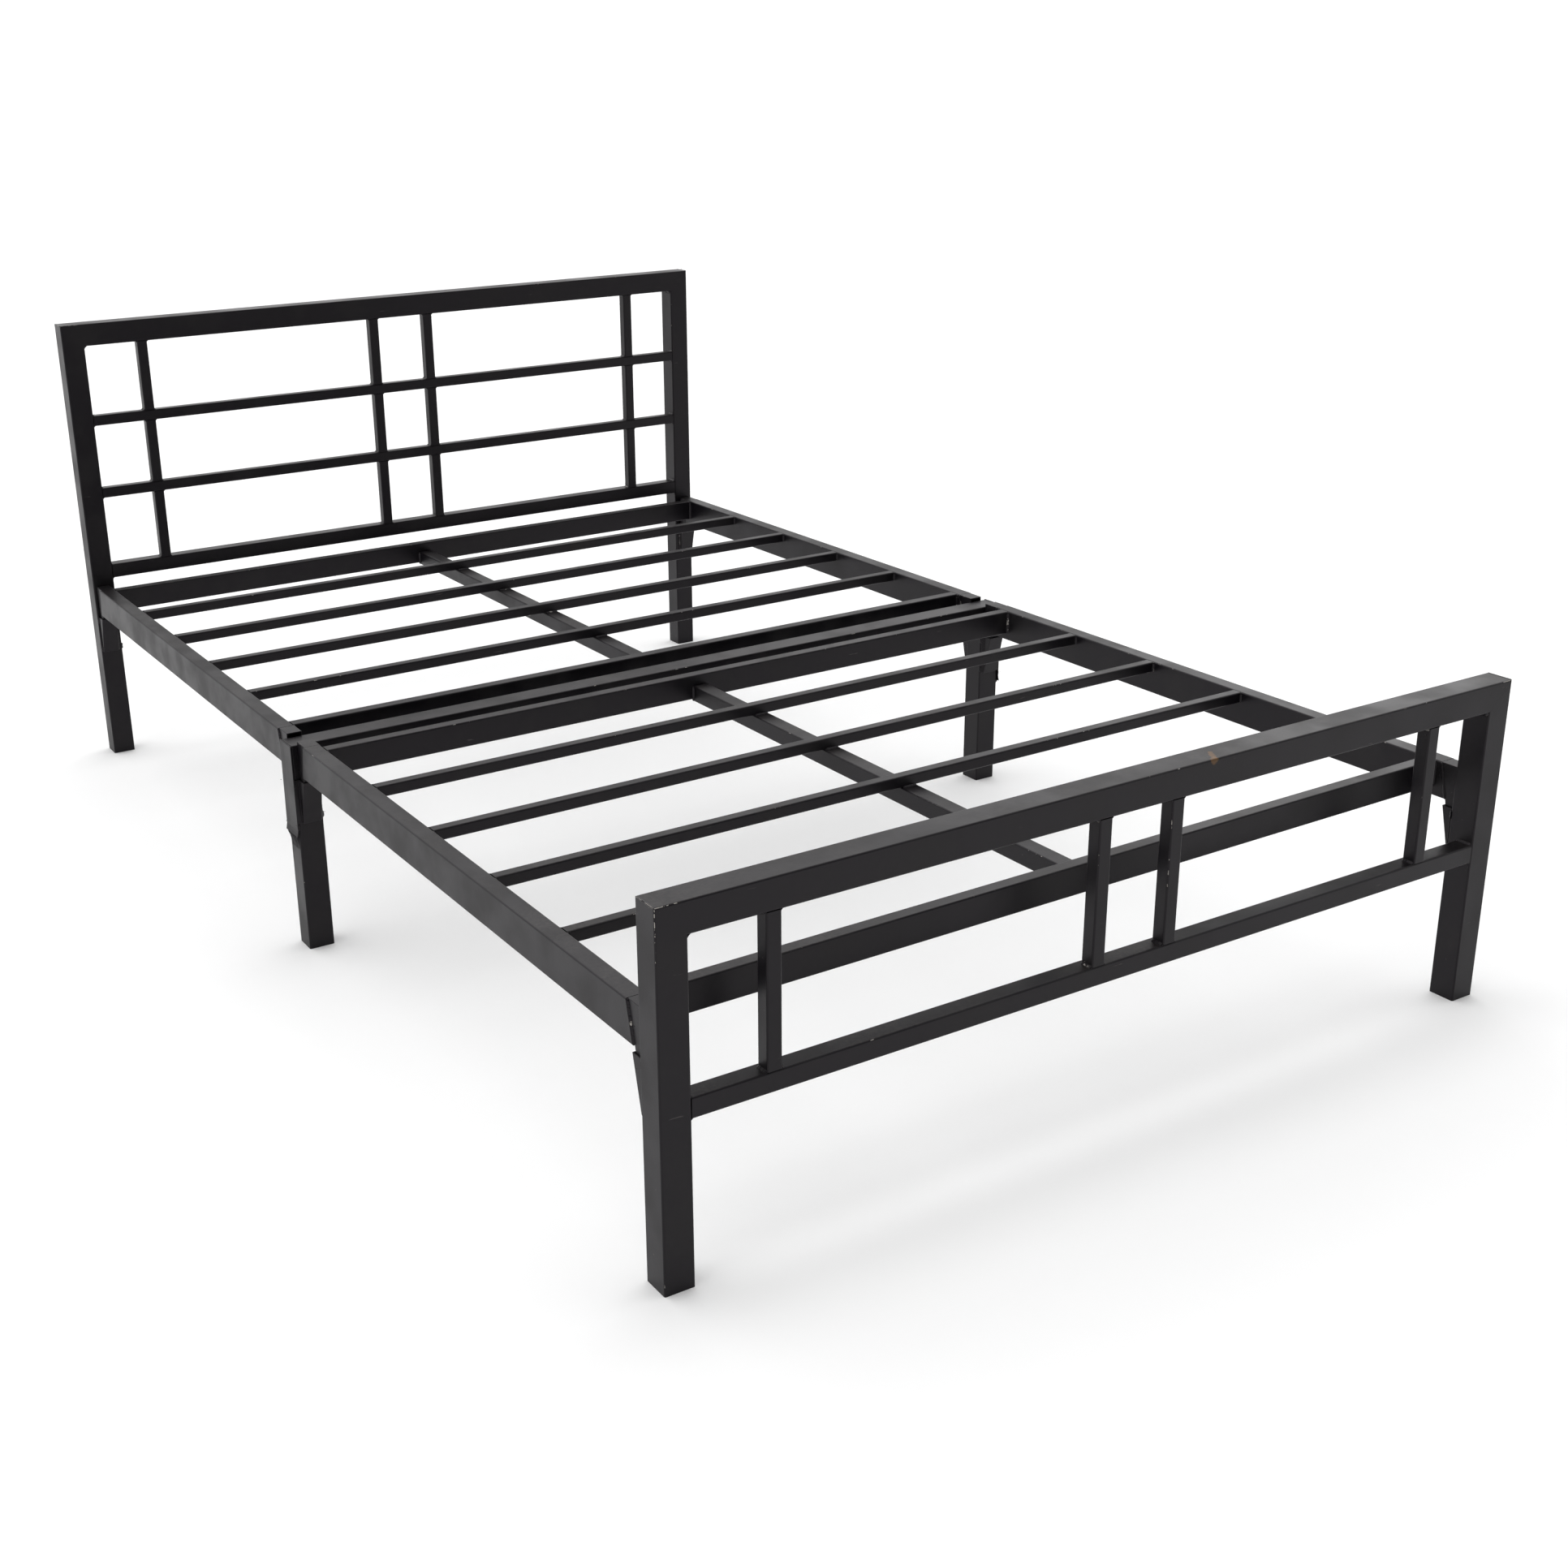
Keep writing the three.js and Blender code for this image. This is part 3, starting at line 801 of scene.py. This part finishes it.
class BedCoatSettings(bpy.types.PropertyGroup):
    coat_colour: FloatVectorProperty(
        name="Coat colour",
        description="Colour of the powder coat",
        subtype="COLOR",
        size=4,
        min=0.0,
        max=1.0,
        default=linear(COAT_HEX),
    )
    gloss_tint: FloatVectorProperty(
        name="Gloss tint",
        description="Faint violet cast of the coat's gloss",
        subtype="COLOR",
        size=4,
        min=0.0,
        max=1.0,
        default=(1.0, 0.94, 0.99, 1.0),
    )
    dust_colour: FloatVectorProperty(
        name="Dust colour",
        description="Colour of the dust on upper faces",
        subtype="COLOR",
        size=4,
        min=0.0,
        max=1.0,
        default=linear(DUST_HEX),
    )
    dust: FloatProperty(
        name="Dust",
        description="How much dust lies on upper faces",
        subtype="FACTOR",
        min=0.0,
        max=1.0,
        default=0.10,
    )
    roughness: FloatProperty(
        name="Roughness",
        description="Roughness of the clean coat",
        subtype="FACTOR",
        min=0.0,
        max=1.0,
        default=0.40,
    )
    # Also sets how much painted highlight the light chip colour lays along the edges
    wear: FloatProperty(
        name="Wear",
        description="How readily the coat chips along edges",
        subtype="FACTOR",
        min=0.0,
        max=0.3,
        default=0.0,
    )
    coat_ior: FloatProperty(
        name="Coat IOR",
        description="Index of refraction, which sets how strong the coat's gloss is",
        min=1.3,
        max=1.7,
        default=1.32,
    )
    peel_size: FloatProperty(
        name="Orange peel",
        description="Distance between the peel's bumps",
        subtype="DISTANCE",
        unit="LENGTH",
        min=0.0005,
        max=0.02,
        default=3 * MM,
    )


class BedWeldSettings(bpy.types.PropertyGroup):
    bead_leg: FloatProperty(
        name="Bead leg",
        description="Leg of the fillet welds between tubes",
        subtype="DISTANCE",
        unit="LENGTH",
        min=0.001,
        max=0.008,
        default=2.8 * MM,
    )
    corner_leg: FloatProperty(
        name="Corner leg",
        description="Leg of the fillet inside the boards' upper corners",
        subtype="DISTANCE",
        unit="LENGTH",
        min=0.001,
        max=0.012,
        default=5 * MM,
    )
    ring_leg: FloatProperty(
        name="Ring leg",
        description="Leg of the heavy bead under each saddle",
        subtype="DISTANCE",
        unit="LENGTH",
        min=0.001,
        max=0.012,
        default=4.5 * MM,
    )
    ripple_pitch: FloatProperty(
        name="Ripple pitch",
        description="Distance between the ripples of a bead",
        subtype="DISTANCE",
        unit="LENGTH",
        min=0.0005,
        max=0.005,
        default=1.8 * MM,
    )
    spatter: IntProperty(
        name="Spatter",
        description="Balls of spatter beside each bead",
        min=0,
        max=8,
        default=1,
    )
    seed: IntProperty(
        name="Seed", description="Seed of the beads' unevenness", default=11
    )


class BedLockSettings(bpy.types.PropertyGroup):
    fold_radius: FloatProperty(
        name="Fold radius",
        description="Radius on the folds and cut edges of the lock sheets",
        subtype="DISTANCE",
        unit="LENGTH",
        min=0.0001,
        max=0.0009,
        default=0.7 * MM,
    )


class BedStageSettings(bpy.types.PropertyGroup):
    floor_size: FloatProperty(
        name="Floor size",
        description="Width of the square floor",
        subtype="DISTANCE",
        unit="LENGTH",
        min=4.0,
        max=200.0,
        default=80.0,
    )
    floor_colour: FloatVectorProperty(
        name="Floor colour",
        description="Colour of the floor",
        subtype="COLOR",
        size=4,
        min=0.0,
        max=1.0,
        default=linear(FLOOR_HEX),
    )
    ceiling_light: FloatProperty(
        name="Ceiling light",
        description="Strength of the lit ceiling, in watts per square metre",
        min=0.0,
        max=20.0,
        default=1.0,
    )
    box_light: FloatProperty(
        name="Box light",
        description="Power of the soft box at the bed's left",
        unit="POWER",
        min=0.0,
        max=500.0,
        default=8.0,
    )


class BED_OT_coat_tubes(bpy.types.Operator):
    """Coats every tube of the boards, the mid leg frame and the decks"""

    bl_idname = "bed.coat_tubes"
    bl_label = "Coat tubes"

    def execute(self, context):
        coat = tube_coat(context.scene)
        for name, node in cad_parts.items():
            if "_plug_" not in name:
                give_material(node, coat)
        return {"FINISHED"}


class BED_OT_fit_plugs(bpy.types.Operator):
    """Gives the leg plugs their moulded plastic"""

    bl_idname = "bed.fit_plugs"
    bl_label = "Leg plugs"

    def execute(self, context):
        plastic = plug_material()
        for name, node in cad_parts.items():
            if "_plug_" in name:
                give_material(node, plastic)
        return {"FINISHED"}


class BED_OT_fold_locks(bpy.types.Operator):
    """Replaces the wedge tongues, pockets and saddles with folded sheet"""

    bl_idname = "bed.fold_locks"
    bl_label = "Wedge locks"

    def execute(self, context):
        for name in sorted(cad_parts):
            if any(word in name for word in LOCK_WORDS):
                folded_lock(name)
        return {"FINISHED"}


class BED_OT_weld_headboard(bpy.types.Operator):
    """Welds the headboard's rails and lattice"""

    bl_idname = "bed.weld_headboard"
    bl_label = "Headboard welds"

    def execute(self, context):
        settings = context.scene.bed_weld
        weld = new_weld("headboard_welds")
        weld_portal_corners(weld, "headboard_top_rail", "headboard_post", settings.corner_leg)
        weld_level(weld, "headboard_bottom_rail", settings.bead_leg)
        bars = ("headboard_lower_bar", "headboard_upper_bar")
        for bar in bars:
            weld_level(weld, bar, settings.bead_leg)
        for index in range(UPRIGHTS):
            upright = f"headboard_upright_{index + 1}"
            weld_upright(weld, upright, settings.bead_leg)
            low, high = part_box(upright)
            for bar in bars:
                bar_low, bar_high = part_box(bar)
                for x, side_x in ((low.x, -1), (high.x, 1)):
                    for z, side_z in ((bar_low.z, -1), (bar_high.z, 1)):
                        weld_along_y(
                            weld, (x, z), (low.y, high.y), side_x, side_z, settings.bead_leg
                        )
        finish_weld(weld, ROOT)
        fill_mitres("headboard", "headboard_post", "headboard_top_rail")
        return {"FINISHED"}


class BED_OT_weld_footboard(bpy.types.Operator):
    """Welds the footboard's rails and uprights"""

    bl_idname = "bed.weld_footboard"
    bl_label = "Footboard welds"

    def execute(self, context):
        settings = context.scene.bed_weld
        weld = new_weld("footboard_welds")
        weld_portal_corners(weld, "footboard_top_rail", "footboard_post", settings.corner_leg)
        weld_level(weld, "footboard_bottom_rail", settings.bead_leg)
        for index in range(UPRIGHTS):
            weld_upright(weld, f"footboard_upright_{index + 1}", settings.bead_leg)
        finish_weld(weld, ROOT)
        fill_mitres("footboard", "footboard_post", "footboard_top_rail")
        return {"FINISHED"}


class BED_OT_weld_mid_frame(bpy.types.Operator):
    """Welds the mid leg frame and the edges of its saddles"""

    bl_idname = "bed.weld_mid_frame"
    bl_label = "Mid frame welds"

    def execute(self, context):
        settings = context.scene.bed_weld
        weld = new_weld("mid_frame_welds")
        weld_portal_corners(weld, "mid_frame_cross_tube", "mid_frame_leg", settings.bead_leg)
        for name, side in SIDES:
            pocket_low, pocket_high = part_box(f"headboard_pocket_{name}")
            low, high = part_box(f"mid_frame_saddle_{name}")
            leg_low, leg_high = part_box(f"mid_frame_leg_{name}")
            outer = leg_low.x if side < 0 else leg_high.x
            reach = (leg_low.y + TUBE_CORNER, leg_high.y - TUBE_CORNER)
            weld_lip(weld, outer, side, reach, low.z, settings.ring_leg)
            inner = high.x if side < 0 else low.x
            for facing in (-1, 1):
                face = leg_low.y if facing < 0 else leg_high.y
                deck = "foot_deck" if facing < 0 else "head_deck"
                weld_channel(weld, f"{deck}_mid_tongue_{name}", face, facing)
                heights = (pocket_low.z, pocket_high.z)
                weld_saddle(weld, outer, inner, side, face, facing, heights)
        finish_weld(weld, ROOT)
        fill_mitres("mid_frame", "mid_frame_leg", "mid_frame_cross_tube")
        return {"FINISHED"}


class BED_OT_weld_pockets(bpy.types.Operator):
    """Tacks the pockets to the headboard's and footboard's posts"""

    bl_idname = "bed.weld_pockets"
    bl_label = "Pocket welds"

    def execute(self, context):
        for board, facing in (("headboard", -1), ("footboard", 1)):
            weld = new_weld(board + "_pocket_welds")
            for name, side in SIDES:
                low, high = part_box(f"{board}_pocket_{name}")
                post_low, post_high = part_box(f"{board}_post_{name}")
                face = post_low.y if facing < 0 else post_high.y
                weld_pocket(weld, low, high, face, facing)
                deck = "head_deck" if facing < 0 else "foot_deck"
                weld_channel(weld, f"{deck}_outer_tongue_{name}", face, facing)
            finish_weld(weld, ROOT)
        return {"FINISHED"}


class BED_OT_weld_decks(bpy.types.Operator):
    """Welds both deck halves: cross rails, slats, centre rail and tongues"""

    bl_idname = "bed.weld_decks"
    bl_label = "Deck welds"

    def execute(self, context):
        settings = context.scene.bed_weld
        for deck, ends in DECK_ENDS.items():
            weld = new_weld(deck + "_welds")
            for end, facing in zip(ends, (1, -1)):
                weld_deck_tube(weld, f"{deck}_{end}_cross_rail", settings.bead_leg)
                for name, side in SIDES:
                    weld_tongue(weld, f"{deck}_{end}_tongue_{name}", side, facing)
            for index in range(SLATS):
                weld_deck_tube(weld, f"{deck}_slat_{index + 1}", settings.bead_leg * 0.8)
            weld_centre_rail(weld, deck, settings.bead_leg * 0.8)
            finish_weld(weld, deck)
        return {"FINISHED"}


class BED_OT_stage(bpy.types.Operator):
    """Lays the floor and sets the lights, the world and the camera"""

    bl_idname = "bed.stage"
    bl_label = "Stage"

    def execute(self, context):
        settings = context.scene.bed_stage
        lay_floor(settings)
        light_studio(settings)
        set_world(context.scene)
        set_camera(context.scene)
        context.scene.view_settings.view_transform = "Standard"
        return {"FINISHED"}


def lay_floor(settings):
    mesh = bpy.data.meshes.new("floor")
    bm = bmesh.new()
    bmesh.ops.create_grid(bm, x_segments=1, y_segments=1, size=settings.floor_size / 2)
    bm.to_mesh(mesh)
    bm.free()
    floor = bpy.data.objects.new("floor", mesh)
    bpy.context.scene.collection.objects.link(floor)
    give_material(floor, floor_material(settings))


def light_studio(settings):
    """One very soft light from above the headboard, like a lit ceiling, and a weak soft box
    at the bed's left."""
    ceiling = bpy.data.lights.new("lit ceiling", "SUN")
    ceiling.energy = settings.ceiling_light
    ceiling.angle = math.radians(CEILING_SPREAD)
    hang_light(ceiling, Vector(CEILING_PLACE))
    box = bpy.data.lights.new("left softbox", "AREA")
    box.shape = "RECTANGLE"
    box.size, box.size_y = BOX_SIZE
    box.energy = settings.box_light
    hang_light(box, Vector(BOX_PLACE))


def hang_light(lamp, place):
    """Hangs a lamp at its place, aimed at the middle of the bed."""
    light = bpy.data.objects.new(lamp.name, lamp)
    light.location = place
    light.rotation_euler = (Vector(LIT_POINT) - place).to_track_quat("-Z", "Y").to_euler()
    bpy.context.scene.collection.objects.link(light)


def set_world(scene):
    """A studio that is bright behind the head, brightest at the back right, and dim before
    the foot."""
    world = bpy.data.worlds.new("studio")
    world.use_nodes = True
    tree = world.node_tree
    tree.nodes.clear()
    direction = add_node(tree, "ShaderNodeTexCoord").outputs["Generated"]
    lean = add_node(
        tree,
        "ShaderNodeVectorMath",
        {"operation": "DOT_PRODUCT", 1: BRIGHT_SIDE},
        {0: direction},
    ).outputs["Value"]
    strength = ramp(tree, lean, -0.7, 0.5, *STUDIO_STRENGTH)
    sideways = add_node(
        tree, "ShaderNodeSeparateXYZ", links={"Vector": direction}
    ).outputs["X"]
    boost = ramp(tree, sideways, 0.55, 0.75, 1.0, RIGHT_BOOST)
    strength = maths(tree, "MULTIPLY", strength, boost)
    # Seen directly it is a plain white backdrop on every side
    seen = add_node(tree, "ShaderNodeLightPath").outputs["Is Camera Ray"]
    strength = maths(tree, "MAXIMUM", strength, seen)
    background = add_node(
        tree,
        "ShaderNodeBackground",
        {"Color": (1.0, 1.0, 1.0, 1.0)},
        {"Strength": strength},
    )
    add_node(
        tree, "ShaderNodeOutputWorld", links={"Surface": background.outputs["Background"]}
    )
    scene.world = world


def set_camera(scene):
    lens = bpy.data.cameras.new("camera")
    lens.sensor_width = CAMERA_SENSOR
    lens.lens = CAMERA_LENS
    lens.shift_x, lens.shift_y = CAMERA_SHIFT
    lens.clip_start = 0.05
    lens.clip_end = 300.0
    camera = bpy.data.objects.new("camera", lens)
    camera.location = CAMERA_PLACE
    camera.rotation_euler = [math.radians(angle) for angle in CAMERA_TURN]
    scene.collection.objects.link(camera)
    scene.camera = camera


OPERATORS = (
    BED_OT_coat_tubes,
    BED_OT_fit_plugs,
    BED_OT_fold_locks,
    BED_OT_weld_headboard,
    BED_OT_weld_footboard,
    BED_OT_weld_mid_frame,
    BED_OT_weld_pockets,
    BED_OT_weld_decks,
    BED_OT_stage,
)


class BED_PT_panel(bpy.types.Panel):
    """Lists the bed's steps and their settings"""

    bl_idname = "BED_PT_panel"
    bl_label = "Metal Bed"
    bl_space_type = "VIEW_3D"
    bl_region_type = "UI"
    bl_category = "Bed"

    def draw(self, context):
        for group in SETTINGS:
            box = self.layout.box()
            settings = getattr(context.scene, group)
            for name in settings.__annotations__:
                box.prop(settings, name)
        for operator in OPERATORS:
            self.layout.operator(operator.bl_idname)


SETTINGS = {
    "bed_coat": BedCoatSettings,
    "bed_weld": BedWeldSettings,
    "bed_lock": BedLockSettings,
    "bed_stage": BedStageSettings,
}


def register():
    for group in SETTINGS.values():
        bpy.utils.register_class(group)
    for operator in OPERATORS:
        bpy.utils.register_class(operator)
    bpy.utils.register_class(BED_PT_panel)
    for name, group in SETTINGS.items():
        setattr(bpy.types.Scene, name, PointerProperty(type=group))


def unregister():
    for name in SETTINGS:
        delattr(bpy.types.Scene, name)
    bpy.utils.unregister_class(BED_PT_panel)
    for operator in reversed(OPERATORS):
        bpy.utils.unregister_class(operator)
    for group in reversed(list(SETTINGS.values())):
        bpy.utils.unregister_class(group)


def main():
    register()
    for operator in OPERATORS:
        area, step = operator.bl_idname.split(".")
        getattr(getattr(bpy.ops, area), step)()


if __name__ == "__main__":
    main()
